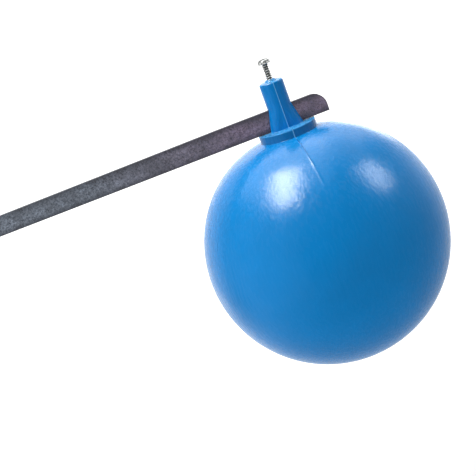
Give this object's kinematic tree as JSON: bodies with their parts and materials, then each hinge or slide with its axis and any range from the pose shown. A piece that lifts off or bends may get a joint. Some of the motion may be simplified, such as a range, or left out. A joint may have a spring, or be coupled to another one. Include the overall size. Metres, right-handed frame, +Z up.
{
  "type": "float valve",
  "caption": "Side-inlet float valve: brass valve with a sliding piston, flat steel lever and hollow plastic ball float clamped on by a screw.",
  "frame": {"origin": "on the inlet axis, in the face of the inner sealing washer that bears on the tank wall", "axes": "+X along the inlet axis into the tank, towards the float; +Z up; the lever moves in the XZ plane"},
  "size_m": [0.4178, 0.15, 0.329],
  "materials": {
    "cast_brass": "as cast, satin",
    "turned_brass": "turned",
    "nylon": "moulded",
    "rubber": "matt",
    "fibre": "red fibre",
    "bar_steel": "dark mill scale",
    "blue_float": "satin blow-moulded",
    "zinc_steel": "zinc plated"
  },
  "bodies": {
    "valve": {"valve_body": "cast_brass", "seat_nozzle": "nylon", "end_cap": "turned_brass", "end_cap_gasket": "fibre", "inner_sealing_washer": "rubber", "outer_sealing_washer": "rubber", "inner_backnut": "turned_brass", "outer_backnut": "turned_brass", "pivot_pin": "turned_brass", "pivot_washer": "turned_brass", "pivot_split_pin": "turned_brass"},
    "piston": {"piston": "turned_brass", "piston_washer": "rubber", "piston_washer_cap": "turned_brass"},
    "lever": {"lever_arm": "bar_steel"},
    "float": {"float_ball": "blue_float"},
    "clamp_screw": {"clamp_screw": "zinc_steel"}
  },
  "joints": [
    {"name": "lever_hinge", "type": "hinge", "parent": "valve", "child": "lever", "pos_m": [0.06365, 0, -0.026], "axis": [0, -1, 0], "range_deg": [0, 26]},
    {"name": "piston_slide", "type": "slide", "parent": "valve", "child": "piston", "axis": [-1, 0, 0], "range_m": [0, 0.0117]},
    {"name": "float_slide", "type": "slide", "parent": "lever", "child": "float", "axis": [0.8988, 0, -0.4384], "range_m": [-0.15, 0.012]},
    {"name": "screw_slide", "type": "slide", "parent": "float", "child": "clamp_screw", "axis": [0.4384, 0, 0.8988], "range_m": [0, 0.01]}
  ],
  "couplings": [
    {"joint": "piston_slide", "follows": "lever_hinge", "m_per_rad": 0.025777}
  ]
}
